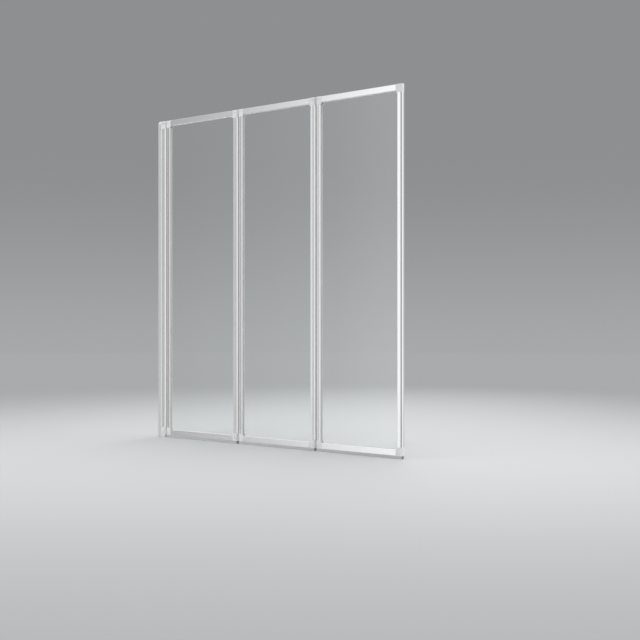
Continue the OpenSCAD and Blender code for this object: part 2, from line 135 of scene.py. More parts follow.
def feed_named(tree, node, values):
    """Feeds inputs by name. An underscore stands for a space in it."""
    for label, value in values.items():
        feed(tree, node.inputs[label.replace("_", " ")], value)


def add_node(tree, kind, *sources, **settings):
    """A node of that kind, with its own settings and what feeds its inputs.

    Sources go to the first inputs, in order. A setting that the node doesn't have is
    the name of an input.
    """
    made = tree.nodes.new(kind)
    for label, value in settings.items():
        if hasattr(made, label):
            setattr(made, label, value)
        else:
            feed_named(tree, made, {label: value})
    for socket, source in zip(made.inputs, sources):
        feed(tree, socket, source)
    return made


def calculate(tree, operation, *values, clamp=False):
    """The output of one Math node, fed with sockets or numbers."""
    made = add_node(
        tree, "ShaderNodeMath", *values, operation=operation, use_clamp=clamp
    )
    return made.outputs[0]


def rescale(tree, source, given=UNIT, wanted=UNIT, soft=False):
    """Maps one range to another, with soft ends where asked."""
    made = add_node(
        tree, "ShaderNodeMapRange", source,
        interpolation_type="SMOOTHSTEP" if soft else "LINEAR",
        From_Min=given[0], From_Max=given[1], To_Min=wanted[0], To_Max=wanted[1],
    )
    return made.outputs["Result"]


def blend(tree, kind, share, one, two):
    """Two numbers or colours blended. Kind is FLOAT or RGBA."""
    made = add_node(tree, "ShaderNodeMix", data_type=kind, Factor=share, A=one, B=two)
    return made.outputs["Result"]


def blend_shaders(tree, share, one, two):
    """Two shaders blended. At a share of 1 only the second is seen."""
    return add_node(tree, "ShaderNodeMixShader", share, one, two).outputs[0]


def object_space(tree):
    """Coordinates that stay fixed to the piece."""
    return add_node(tree, "ShaderNodeTexCoord").outputs["Object"]


def noise(tree, where, **settings):
    """A soft random pattern of values from 0 to 1."""
    return add_node(tree, "ShaderNodeTexNoise", where, **settings).outputs["Fac"]


print("masks, shares and noises all run over", UNIT)

# %% [markdown]
# Finishes that several materials share are node groups: a group is built once, has
# named inputs, and puts out only values that vary over the surface. The first one is
# the drawing marks of an extrusion, fine lines that run the whole length of a bar. A
# noise that is stretched a thousand times along the bar gives lines that are never
# quite alike, which a regular wave pattern can't. A second, broader noise makes some of
# the lines lighter than others.

# %% Group: drawing marks of an extrusion
FLOAT, VECTOR = "NodeSocketFloat", "NodeSocketVector"
BROAD_SCALE, BROAD_SHARE = 0.12, 0.35     # the broader noise and how much it counts


def new_group(name, inputs, outputs):
    """A shader node group with named sockets. Inputs are (name, kind, default)."""
    group = bpy.data.node_groups.new(name, "ShaderNodeTree")
    for label, kind, default in inputs:
        socket = group.interface.new_socket(label, in_out="INPUT", socket_type=kind)
        socket.default_value = default
    for label in outputs:
        group.interface.new_socket(label, in_out="OUTPUT", socket_type=FLOAT)
    inlets = group.nodes.new("NodeGroupInput").outputs
    outlet = group.nodes.new("NodeGroupOutput")
    return group, inlets, outlet


drawing_marks, inlets, outlet = new_group(
    "drawing_marks", [("Lines across", VECTOR, (1, 1, 1))], ["Mask", "Height"]
)
across = add_node(
    drawing_marks, "ShaderNodeVectorMath",
    object_space(drawing_marks), inlets["Lines across"], operation="MULTIPLY",
).outputs[0]
lines = noise(drawing_marks, across, Scale=1.0, Detail=4.0, Roughness=0.7)
broad = noise(drawing_marks, across, Scale=BROAD_SCALE, Detail=2.0)
feed_named(drawing_marks, outlet, {
    "Mask": blend(drawing_marks, "FLOAT", BROAD_SHARE, lines, broad),
    "Height": lines,
})
print(drawing_marks.name, "has", len(drawing_marks.nodes), "nodes")

# %% [markdown]
# The second group is the film that every surface wears once it has been wet and wiped a
# few times: faint streaks and dried drops. It only changes gloss, never the colour, and
# it is kept weak because the screen is new. The drops are the middles of the cells of a
# cell texture, which is the quickest way to scatter spots that never touch.

# %% Group: wiped film and dried drops
DROPS_PER_METRE = 90.0
DROP_EDGE = (0.28, 0.18)      # from outside to inside, in cell widths
wiped_film, inlets, outlet = new_group(
    "wiped_film", [("Patch size", FLOAT, 6.0), ("Drops", FLOAT, 0.5)], ["Mask"]
)
where = object_space(wiped_film)
patches = noise(
    wiped_film, where, Scale=inlets["Patch size"], Detail=3.0, Roughness=0.55
)
cells = add_node(
    wiped_film, "ShaderNodeTexVoronoi", where, Scale=DROPS_PER_METRE, Randomness=1.0
)
spots = rescale(wiped_film, cells.outputs["Distance"], given=DROP_EDGE, soft=True)
dried = calculate(wiped_film, "MULTIPLY", spots, inlets["Drops"])
patchy = calculate(wiped_film, "MULTIPLY", dried, patches)
film = calculate(wiped_film, "ADD", patches, patchy, clamp=True)
feed_named(wiped_film, outlet, {"Mask": film})
print(wiped_film.name, "has", len(wiped_film.nodes), "nodes")

# %% [markdown]
# Moulded plastic takes the spark-eroded grain of its mould: fine, even and without
# direction. Two noises, one under a millimetre and one of a few, keep it from looking
# printed. The same group, coarser, is the skin of the soft seals.

# %% Group: moulded grain
FLOW_SCALE, FLOW_SHARE = 70.0, 0.6     # the wider noise and how much it counts
moulded_grain, inlets, outlet = new_group(
    "moulded_grain", [("Grain size", FLOAT, 1800.0)], ["Mask", "Height"]
)
where = object_space(moulded_grain)
grain = noise(
    moulded_grain, where, Scale=inlets["Grain size"], Detail=3.0, Roughness=0.6
)
flow = noise(moulded_grain, where, Scale=FLOW_SCALE, Detail=2.0)
feed_named(moulded_grain, outlet, {
    "Mask": blend(moulded_grain, "FLOAT", FLOW_SHARE, grain, flow),
    "Height": grain,
})
print("node groups:", [g.name for g in bpy.data.node_groups])

# %% [markdown]
# A finish is one Principled shader. What is the same all over sits on its own sockets,
# and what varies comes from the groups: two tones of the base colour mixed by a mask,
# a roughness between two values, and a very low bump.

# %% Helpers for a finish
BLUE_GAIN = 0.6        # a cool grey gains this much in blue for what it loses in red


def new_material(name, **values):
    """A material, its node tree and its Principled shader with those values."""
    material = bpy.data.materials.new(name)
    material.use_nodes = True
    tree = material.node_tree
    shader = tree.nodes["Principled BSDF"]
    feed_named(tree, shader, values)
    return material, tree, shader


def finish_of(
    name, group, settings, tones, rough, bump, film=0.0, painted_shade=None, **shader_values
):
    """A material whose colour, roughness and relief follow one group's mask.

    Bump is a strength and a depth in metres. Where a mesh marks the foot of a shadow
    line, its colour turns to a painted shade tone, a dark tone in place of the shade in the groove.
    """
    material, tree, shader = new_material(name, **shader_values)
    marks = add_node(tree, "ShaderNodeGroup", node_tree=group, **settings).outputs
    tone = blend(tree, "RGBA", marks["Mask"], *tones)
    # Painted shade: the marked foot of a shadow line takes a dark tone in place of the shade in the groove.
    if painted_shade:
        inside = add_node(tree, "ShaderNodeAttribute", attribute_name="painted_groove_shade")
        tone = blend(tree, "RGBA", inside.outputs["Fac"], tone, painted_shade)
    gloss = rescale(tree, marks["Mask"], wanted=rough)
    if film:
        worn = add_node(tree, "ShaderNodeGroup", node_tree=wiped_film).outputs["Mask"]
        gloss = calculate(tree, "MULTIPLY_ADD", worn, film, gloss)
    relief = add_node(
        tree, "ShaderNodeBump",
        Strength=bump[0], Distance=bump[1], Height=marks["Height"],
    ).outputs["Normal"]
    feed_named(tree, shader, {"Base Color": tone, "Roughness": gloss, "Normal": relief})
    return material


def grey(value, cool=0.0):
    """A grey of that strength, a little cooler where cool is above 0."""
    return (value * (1 - cool), value, value * (1 + cool * BLUE_GAIN))


print("a plain grey of 0.7:", grey(0.7), "and a cool one:", grey(0.7, 0.004))

# %% [markdown]
# Satin anodised aluminium: pale, neutral, and just rough enough that it shows soft
# bands of light and not a sharp picture of what is round it. Uprights and rails differ
# in the direction of their lines, and the numbers say how much finer the pattern is
# across the bar than along it. The finish of the uprights also holds a painted shade:
# a dark tone for the foot of their shadow lines, which the mesh marks, in place of the
# shade that falls in the groove. The fixed channel is a plainer extrusion, and a little duller.

# %% Aluminium
ALONG_Z, ALONG_X = (2600, 2600, 3), (3, 2600, 2600)    # lines per metre of each axis
# painted shade: the dark tone given to the foot of a shadow line, standing in for the shade in the groove
LINE_FOOT_PAINTED_SHADE = (0.08, 0.08, 0.08)
silver = {
    "tones": [(0.765, 0.77, 0.77), (0.845, 0.85, 0.85)],
    "rough": (0.14, 0.21),
    "bump": (0.18, 0.00003),
    "film": 0.02,
    "Metallic": 1.0,
}
dull_silver = {**silver, "rough": (0.28, 0.36)}
upright_silver = finish_of(
    "upright_silver", drawing_marks, {"Lines across": ALONG_Z},
    painted_shade=LINE_FOOT_PAINTED_SHADE, **silver,
)
rail_silver = finish_of(
    "rail_silver", drawing_marks, {"Lines across": ALONG_X}, **silver
)
channel_silver = finish_of(
    "channel_silver", drawing_marks, {"Lines across": ALONG_Z}, **dull_silver
)
print("aluminium, roughness", silver["rough"], "and", dull_silver["rough"])

# %% [markdown]
# The moulded corner pieces are sprayed or dyed to match the frame, so they are nearly
# as light, but plastic: no metal, a broad soft sheen. The link plates between them are
# left a shade darker. Pins and screws are turned steel, with marks that run round them.

# %% Plastics and steel
ROUND_Z = (500, 500, 3000)     # close along a pin and wide across it
light_plastic = finish_of(
    "light_plastic", moulded_grain, {"Grain size": 1900.0},
    tones=[grey(0.73, 0.004), grey(0.79, 0.004)], rough=(0.36, 0.46),
    bump=(0.2, 0.00006), film=0.03,
)
link_plastic = finish_of(
    "link_plastic", moulded_grain, {"Grain size": 900.0},
    tones=[grey(0.66, 0.004), grey(0.72, 0.004)], rough=(0.42, 0.54),
    bump=(0.3, 0.0001),
)
pin_steel = finish_of(
    "pin_steel", drawing_marks, {"Lines across": ROUND_Z},
    tones=[grey(0.56), grey(0.68)], rough=(0.2, 0.34), bump=(0.15, 0.00002),
    Metallic=1.0,
)
print("hard finishes:", [m.name for m in (light_plastic, link_plastic, pin_steel)])

# %% [markdown]
# The soft parts are extruded PVC and rubber, all clear grey, so that they draw no dark
# outline round the panes. The seal is translucent in the hand; a little subsurface
# scattering gives it that milky depth without making it see-through.

# %% Soft parts
seal_grey = finish_of(
    "seal_grey", moulded_grain, {"Grain size": 500.0},
    tones=[grey(0.49, 0.008), grey(0.56, 0.008)], rough=(0.32, 0.44),
    bump=(0.12, 0.0001), film=0.05, Subsurface_Weight=0.25, Subsurface_Scale=0.002,
)
strip_grey = finish_of(
    "strip_grey", moulded_grain, {"Grain size": 700.0},
    tones=[grey(0.66), grey(0.73)], rough=(0.45, 0.6), bump=(0.2, 0.0001),
)
gasket_grey = finish_of(
    "gasket_grey", moulded_grain, {"Grain size": 700.0},
    tones=[grey(0.78), grey(0.84)], rough=(0.5, 0.65), bump=(0.2, 0.0001),
)
print("soft finishes:", [m.name for m in (seal_grey, strip_grey, gasket_grey)])

# %% [markdown]
# Toughened glass is almost clear from the front and green along its edge, where one
# looks through more of it. It is never dead flat: the rollers of the oven leave a
# long, very low wave, which bends the reflections a little. Rays from lamps pass
# through, so that the pane doesn't throw a solid shadow.

# %% Glass
CLEAR_GREEN = (0.95, 0.972, 0.965)     # what the glass does to a ray that crosses it
LAMP_TINT = (0.93, 0.96, 0.95)         # and to a lamp's light
FILM_ROUGH = (0.0, 0.025)              # roughness where the film is thin, and thick
clear_glass, tree, shader = new_material(
    "clear_glass", Transmission_Weight=1.0, IOR=1.5, Base_Color=CLEAR_GREEN
)
worn = add_node(
    tree, "ShaderNodeGroup", node_tree=wiped_film, Patch_size=3.0, Drops=0.3
).outputs["Mask"]
wave = add_node(
    tree, "ShaderNodeTexWave", object_space(tree),
    bands_direction="Z", Scale=0.7, Distortion=1.5,
).outputs["Fac"]
relief = add_node(tree, "ShaderNodeBump", Strength=0.15, Distance=0.0004, Height=wave)
feed_named(tree, shader, {
    "Roughness": rescale(tree, worn, wanted=FILM_ROUGH),
    "Normal": relief.outputs["Normal"],
})
lamp_ray = add_node(tree, "ShaderNodeLightPath").outputs["Is Shadow Ray"]
let_through = add_node(tree, "ShaderNodeBsdfTransparent", Color=LAMP_TINT).outputs[0]
feed_named(tree, tree.nodes["Material Output"], {
    "Surface": blend_shaders(tree, lamp_ray, shader.outputs[0], let_through),
})
print("materials:", [m.name for m in bpy.data.materials])

# %% [markdown]
# Two ways make the pieces. A bar of one section is drawn: its outline is a list of
# points in millimetres, and the section is run from one end to the other. A moulded or
# turned part, whose form is already right in the solids, is copied, its flat faces are
# made whole again, and all its sharp edges are rounded by a bevel, as a real mould or
# tumbling drum rounds them. In both, each long flat keeps its own normal up to the
# curve beside it. Plain smooth shading would tilt it, and a metal face that is tilted
# by two degrees mirrors another part of the studio.

# %% Helpers for every piece
SMOOTH_BELOW = math.radians(32)    # two faces that meet at less look like one curve
FACE_WEIGHT = 100                  # the largest face settles the normal
UPRIGHT = Matrix.Identity(4)
ALONG = Matrix(((0, 0, 1, 0), (1, 0, 0, 0), (0, 1, 0, 0), (0, 0, 0, 1)))


def mesh_of(name, bm):
    """The finished mesh of a drawing, which is then cleared away."""
    mesh = bpy.data.meshes.new(name)
    bm.to_mesh(mesh)
    bm.free()
    return mesh


def smooth_curves(mesh):
    """Shades curves smoothly and leaves real edges sharp."""
    mesh.shade_smooth()
    mesh.set_sharp_from_angle(angle=SMOOTH_BELOW)


def keep_faces_flat(piece):
    """Lets a large face keep its own normal up to the edge of the curve beside it."""
    flat = piece.modifiers.new("flat faces", "WEIGHTED_NORMAL")
    flat.mode = "FACE_AREA"
    flat.weight = FACE_WEIGHT
    flat.keep_sharp = True


def place(piece, body, material, node):
    """Gives a finished piece its body and its finish, and hides the solid that it stands for."""
    bpy.context.scene.collection.objects.link(piece)
    piece.data.materials.clear()
    piece.data.materials.append(material)
    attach(piece, body)
    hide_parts(node)


print("a section runs along Z, or is laid along X by", [list(row) for row in ALONG])

# %% Helpers for drawn pieces


def arc(cx, cy, radius, start_deg, end_deg, steps):
    """Points along an arc, both ends included, in millimetres."""
    turns = [
        math.radians(start_deg + (end_deg - start_deg) * i / steps)
        for i in range(steps + 1)
    ]
    return [(cx + radius * math.cos(t), cy + radius * math.sin(t)) for t in turns]


def stitch(bm, one, two):
    """Joins two closed rings of points by a band of faces."""
    for i in range(len(one)):
        j = (i + 1) % len(one)
        bm.faces.new((one[i], one[j], two[j], two[i]))


def drawn_piece(name, bm, curved=True):
    """An object from the faces drawn so far, all turned outward."""
    bmesh.ops.recalc_face_normals(bm, faces=bm.faces)
    mesh = mesh_of(name, bm)
    if curved:
        smooth_curves(mesh)
    return bpy.data.objects.new(name, mesh)


def run_section(name, loops, start, end, to_frame):
    """A bar: closed outlines in millimetres, run from start to end and put in place."""
    bm = bmesh.new()
    rims = ([], [])
    for loop in loops:
        rings = [
            [bm.verts.new((x * MM, y * MM, z * MM)) for x, y in loop]
            for z in (start, end)
        ]
        stitch(bm, *rings)
        for rim, ring in zip(rims, rings):
            rim += [bm.edges.get(pair) for pair in zip(ring, ring[1:] + ring[:1])]
    for rim in rims:
        bmesh.ops.triangle_fill(bm, use_beauty=True, edges=rim)
    bmesh.ops.transform(bm, matrix=to_frame, verts=bm.verts)
    piece = drawn_piece(name, bm)
    keep_faces_flat(piece)
    return piece


print("a quarter of a nose:", len(arc(0, 0, NOSE_R, 90, 180, steps=32)), "points")

# %% Helper for copied pieces
WELD = 0.000005                      # metres: points as near as this become one
ONE_FACE = math.radians(0.5)         # faces within this angle are one flat
ROUND_ABOVE = math.radians(35)       # sharper edges than this are rounded


def softened(name, node, radius, material, segments=3):
    """A copy of a solid with its flat faces whole and its sharp edges rounded."""
    bm = bmesh.new()
    bm.from_mesh(cad_nodes[node].data)
    bmesh.ops.remove_doubles(bm, verts=bm.verts, dist=WELD)
    bmesh.ops.dissolve_limit(bm, angle_limit=ONE_FACE, verts=bm.verts, edges=bm.edges)
    piece = bpy.data.objects.new(name, mesh_of(name, bm))
    rounding = piece.modifiers.new("rounded edges", "BEVEL")
    rounding.width = radius * MM
    rounding.segments = segments
    rounding.limit_method = "ANGLE"
    rounding.angle_limit = ROUND_ABOVE
    rounding.use_clamp_overlap = True
    smooth_curves(piece.data)
    keep_faces_flat(piece)
    place(piece, body_of_node[node], material, node)


print("edges sharper than", round(math.degrees(ROUND_ABOVE)), "degrees are rounded")

# %% [markdown]
# ## Uprights
# An upright is an extrusion. Seen in section it has a half-round nose about the hinge
# axis, a flat part beside the glass, a chamber, a glazing channel and two screw ports.
# A fine shadow line runs down both faces, near the end of the nose on a hinged upright
# and on the nose itself on the free one. It is a real groove, and its foot is marked,
# so that the finish paints shade there, a dark tone in place of the shade in the groove.
# The outline is drawn for the left-hand side and mirrored.

# %% Outline of an upright
LINE_W, LINE_H = 1.7, 0.4   # a shadow line: width, depth
FOOT_W = 1.2                # its width at the foot
LEFT_LINE_X = 4.0           # its place on a left-hand upright, from the hinge axis
RIGHT_LINE_X = 0.9          # and on a right-hand one
NOSE_LINE_TURN = 32.0       # degrees round the nose of the free upright
LIP_R = 0.5                 # rounding of the channel's mouth
CHANNEL_X0 = STILE_FLAT - GLASS_BITE - GASKET_WEB - SLIP


def upright_outline(line_x):
    """The outside of an upright, its hinge axis at 0 and the glass towards +X.

    The shadow line lies line_x from the axis, or on the nose where that is None.
    """
    half = [(CHANNEL_X0, SLOT_Y)]
    half += arc(STILE_FLAT - LIP_R, SLOT_Y + LIP_R, LIP_R, -90, 0, steps=4)
    half += arc(STILE_FLAT - EDGE_R, NOSE_R - EDGE_R, EDGE_R, 0, 90, steps=10)
    foot_r = NOSE_R - LINE_H
    if line_x is not None:
        half += [
            (line_x + LINE_W / 2, NOSE_R), (line_x + FOOT_W / 2, foot_r),
            (line_x - FOOT_W / 2, foot_r), (line_x - LINE_W / 2, NOSE_R),
        ]
        half += arc(0, 0, NOSE_R, 90, 180, steps=32)
    else:
        at = 90 + NOSE_LINE_TURN
        wide, foot = (math.degrees(w / 2 / NOSE_R) for w in (LINE_W, FOOT_W))
        half += arc(0, 0, NOSE_R, 90, at - wide, steps=12)
        half += arc(0, 0, foot_r, at - foot, at + foot, steps=1)
        half += arc(0, 0, NOSE_R, at + wide, 180, steps=20)
    other = [(x, -y) for x, y in reversed(half[:-1])]
    return half + other


print("outline of an upright:", len(upright_outline(LEFT_LINE_X)), "points")

# %% The hollows of an upright
CHAMBER_R = NOSE_R - WALL_T
CHAMBER_X = CHANNEL_X0 - WALL_T
LINK_SLOT_R = NOSE_R + 0.2          # the slot for the link plates in a corner piece
SCREW_R, SCREW_WALL = 1.5, 0.5      # a corner screw, and what is left beside the slot
THREAD_BITE = 0.1                   # the screw's thread is wider than its port by this
PORT_R = SCREW_R - THREAD_BITE
PORT_Y = (SLOT_Y + NOSE_R) / 2
PORT_X = math.sqrt((LINK_SLOT_R + SCREW_R + SCREW_WALL) ** 2 - PORT_Y**2)


def upright_loops(line_x):
    """The outside, the chamber and the two screw ports."""
    chamber = [(CHAMBER_X, -CHAMBER_R), (CHAMBER_X, CHAMBER_R)]
    chamber += arc(0, 0, CHAMBER_R, 90, 270, steps=40)
    ports = [arc(PORT_X, y, PORT_R, 0, 345, steps=23) for y in (PORT_Y, -PORT_Y)]
    return [upright_outline(line_x), chamber, *ports]


def left_hand(loops, pin):
    """The section on its hinge axis, as drawn."""
    return [[(pin + x, y) for x, y in loop] for loop in loops]


def right_hand(loops, pin):
    """The section on its hinge axis, mirrored."""
    return [[(pin - x, y) for x, y in reversed(loop)] for loop in loops]


print("screw ports at", round(PORT_X, 2), "and", PORT_Y, "mm from the hinge axis")

# %% Uprights
SAME_PLACE = 0.01           # millimetres
UPRIGHT_Z = (SEAL_H + CORNER_H, SCREEN_H - CORNER_H)


def mark_painted_line_shade(bar, pin):
    """Marks the foot of each shadow line, where the finish then paints shade."""
    # these marks place the painted shade at the foot of each groove
    mark = bar.data.attributes.new("painted_groove_shade", "FLOAT", "POINT")
    foot = NOSE_R - LINE_H
    for vertex, value in zip(bar.data.vertices, mark.data):
        x, y = vertex.co.x / MM - pin, abs(vertex.co.y) / MM
        on_face = abs(x) < LEFT_LINE_X + LINE_W and abs(y - foot) < SAME_PLACE
        on_nose = abs(math.hypot(x, y) - foot) < SAME_PLACE
        value.value = float(on_face or on_nose)


right_lines = (RIGHT_LINE_X, RIGHT_LINE_X, None)
for body, left, right, right_line in zip(PANELS, left_pin, right_pin, right_lines):
    for side, pin, loops in (
        ("left", left, left_hand(upright_loops(LEFT_LINE_X), left)),
        ("right", right, right_hand(upright_loops(right_line), right)),
    ):
        bar = run_section(f"{body}_upright_{side}", loops, *UPRIGHT_Z, UPRIGHT)
        mark_painted_line_shade(bar, pin)
        place(bar, body, upright_silver, f"{body}_stile_{side}")
print("uprights run from z", UPRIGHT_Z, "mm")

# %% [markdown]
# ## Rails
# A rail is the same idea lying down: two faces, a chamber, the glazing channel on the
# glass side, and under the bottom rail a T-groove that holds the seal.

# %% Section of a rail
NECK_HALF, NECK_H = 1.5, 1.6      # the seal's neck in the groove
BEAD_HALF, BEAD_H = 3.0, 2.0      # the bead above it
FIT = 0.02                        # play round both
RAIL_WEB = RAIL_H - GLASS_BITE - GASKET_WEB - SLIP


def rail_outline(grooved):
    """The outside of a rail, its outer edge at 0 and the glass side upward."""
    foot = 0.0 if grooved else RAIL_STEP
    half = [(0.0, RAIL_WEB), (SLOT_Y, RAIL_WEB)]
    half += arc(SLOT_Y + LIP_R, RAIL_H - LIP_R, LIP_R, 180, 90, steps=4)
    half += arc(NOSE_R - EDGE_R, RAIL_H - EDGE_R, EDGE_R, 90, 0, steps=10)
    half += arc(NOSE_R - OUTER_R, foot + OUTER_R, OUTER_R, 0, -90, steps=6)
    if grooved:
        neck, bead, top = NECK_HALF + FIT, BEAD_HALF + FIT, NECK_H + BEAD_H + FIT
        half += [(neck, 0), (neck, NECK_H), (bead, NECK_H), (bead, top), (0.0, top)]
    else:
        half += [(0.0, foot)]
    return half[:-1] + [(-x, y) for x, y in reversed(half[1:])]


def rail_chamber():
    """The hollow of a rail, above the groove and below the glazing channel."""
    x, low, high = NOSE_R - WALL_T, WALL_T + NECK_H + BEAD_H + WALL_T, RAIL_WEB - WALL_T
    return [(-x, low), (x, low), (x, high), (-x, high)]


def rail_loops(grooved, edge, inward):
    """A rail's section, its outer edge at that height and the glass side inward."""
    return [
        [(y, edge + inward * z) for y, z in loop]
        for loop in (rail_outline(grooved), rail_chamber())
    ]


for body, left, right in zip(PANELS, left_pin, right_pin):
    rail_x = (left + CORNER_REACH, right - CORNER_REACH)
    for side, loops in (
        ("bottom", rail_loops(True, SEAL_H, 1)),
        ("top", rail_loops(False, SCREEN_H, -1)),
    ):
        bar = run_section(f"{body}_crossbar_{side}", loops, *rail_x, ALONG)
        place(bar, body, rail_silver, f"{body}_rail_{side}")
    print(body, "rails run from x", [round(x, 1) for x in rail_x], "mm")

# %% [markdown]
# ## Moulded and turned parts
# Corner pieces, hinge blocks, caps, link plates, screws and pins keep the form of the
# solids. What the solids lack is their edges: a moulded edge has a radius of a few
# tenths, and it is that radius that catches the light. The fixed channel and the bar
# that slides in it are copied too, because their screw holes are already in the solids.

# %% Rounded copies
FEW = 2                                     # segments, enough for a metal edge
CORNER_EDGE, LINK_EDGE = 0.45, 0.4          # radii of moulded edges, in millimetres
SCREW_EDGE, BOLT_EDGE = 0.12, 0.2           # and of metal ones
PIN_EDGE, BAR_EDGE = 0.4, 0.22
for body in PANELS:
    for corner in ("top_left", "top_right", "bottom_left", "bottom_right"):
        softened(
            f"{body}_elbow_{corner}", f"{body}_corner_{corner}", CORNER_EDGE,
            light_plastic,
        )
    softened(
        f"{body}_screws", f"{body}_corner_screws", SCREW_EDGE, pin_steel, FEW
    )
    softened(f"{body}_pins", f"{body}_hinge_pins", PIN_EDGE, pin_steel, FEW)
for k in range(3):
    for level in ("top", "bottom"):
        softened(
            f"link_plate_{k}_{level}", f"link_{k}_{level}", LINK_EDGE,
            link_plastic,
        )
for node, name, radius in (
    ("wall_cap_top", "wall_end_cap_top", 0.6),
    ("wall_cap_bottom", "wall_end_cap_bottom", 0.5),
    ("wall_hinge_block_top", "wall_hinge_end_top", 0.45),
    ("wall_hinge_block_bottom", "wall_hinge_end_bottom", 0.45),
    ("clamp_screw_covers", "clamp_covers", 0.4),
):
    softened(name, node, radius, light_plastic)
softened("wall_pins", "wall_hinge_pins", PIN_EDGE, pin_steel, FEW)
softened("clamp_bolts", "clamp_screws", BOLT_EDGE, pin_steel, FEW)
softened("wall_channel", "wall_profile", BAR_EDGE, channel_silver, FEW)
softened(
    "adjusting_bar", "adjusting_profile", BAR_EDGE, upright_silver, FEW
)

# %% [markdown]
# ## Glass and its gasket
# The pane's edge is ground to a small chamfer before it is toughened. A bevel would do
# it too, but four rings of points give exactly the two ground faces and nothing else.
# The gasket is a rubber U that wraps the edge and sits in the glazing channel; only its
# rounded lips look out of the frame. It is drawn as a section and carried round the
# pane with a mitre at each corner.

# %% Helper for a pane
ARRIS = 0.5           # the ground chamfer


def ground_pane(name, low, high):
    """A slab of glass whose four edges are ground to a small chamfer on both faces."""
    bm = bmesh.new()
    edge_y = GLASS_Y - ARRIS
    rings = [
        [
            bm.verts.new((x * MM, y * MM, z * MM))
            for x, z in (
                (low[0] + inset, low[1] + inset), (high[0] - inset, low[1] + inset),
                (high[0] - inset, high[1] - inset), (low[0] + inset, high[1] - inset),
            )
        ]
        for inset, y in ((ARRIS, -GLASS_Y), (0, -edge_y), (0, edge_y), (ARRIS, GLASS_Y))
    ]
    bm.faces.new(rings[0])
    bm.faces.new(rings[-1])
    for one, two in zip(rings, rings[1:]):
        stitch(bm, one, two)
    return drawn_piece(name, bm, curved=False)


print("glass", GLASS_Y * 2, "mm thick, ground by", ARRIS, "mm")

# %% Helper for a gasket
LIP_OUT = 1.0         # how far the lip stands out of the frame
LIP_CURVE = 0.95      # the radius of its outer edge
LIP_STEP = 0.6        # it widens this far below the frame's edge
SIDE_PLAY = 0.05      # play in the channel
GLASS_PLAY = 0.02     # and round the glass


def gasket_section():
    """The gasket's section, as points (inward from the glass edge, y)."""
    tip, side, inside = GLASS_BITE + LIP_OUT, SLOT_Y - SIDE_PLAY, GLASS_Y + GLASS_PLAY
    half = [(GLASS_BITE - LIP_STEP, side)]
    half += arc(tip - LIP_CURVE, GLASS_Y + LIP_OUT, LIP_CURVE, 90, 0, steps=6)
    half += [(tip, inside), (GLASS_PLAY, inside)]
    other = [(d, -y) for d, y in reversed(half)]
    return [(-GASKET_WEB, -side), (-GASKET_WEB, side), *half, *other]


def ring_section(name, section, low, high):
    """Carries (inward, y) points round the rectangle low..high in X and Z."""
    bm = bmesh.new()
    corners = [
        (low[0], low[1], 1, 1), (high[0], low[1], -1, 1),
        (high[0], high[1], -1, -1), (low[0], high[1], 1, -1),
    ]
    rings = [
        [
            bm.verts.new(((x + d * to_x) * MM, y * MM, (z + d * to_z) * MM))
            for d, y in section
        ]
        for x, z, to_x, to_z in corners
    ]
    for one, two in zip(rings, rings[1:] + rings[:1]):
        stitch(bm, one, two)
    return drawn_piece(name, bm)


print("gasket:", len(gasket_section()), "points in section")

# %% Panes and gaskets
for body in PANELS:
    low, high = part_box(f"{body}_glass")
    pane_low, pane_high = (low.x / MM, low.z / MM), (high.x / MM, high.z / MM)
    pane = ground_pane(f"{body}_pane", pane_low, pane_high)
    place(pane, body, clear_glass, f"{body}_glass")
    gasket = ring_section(
        f"{body}_glazing_gasket", gasket_section(), pane_low, pane_high
    )
    place(gasket, body, gasket_grey, f"{body}_gasket")
    print(body, "pane", [round(b - a, 1) for a, b in zip(pane_low, pane_high)], "mm")

# %% [markdown]
# ## Soft seals and joint strips
# The seal under each panel has a thick top with a T bead in the rail, a front skirt
# that thins towards its tip, a middle wall, and a back lip that curls inward. It is
# extruded, so it is drawn as one outline and run along the rail like a bar.

# %% Bottom seals
SEAL_HALF, SEAL_T = 8.5, 1.4      # half its width, the thickness of its walls
TIP_T, TIP_CUT = 0.8, 0.3         # the skirt's tip and the small cut across it
SKIRT_Z = 4.0                     # the skirt is straight above this height
EDGE_CUT = 0.4                    # chamfer of its outer edges
WALL_FILLET, MIDDLE_FILLET = 0.6, 0.4
MIDDLE_Z = SEAL_H / 3             # the middle wall ends at this height
CURL_IN, CURL_OUT = -84, -88      # degrees: where the lip's two faces end


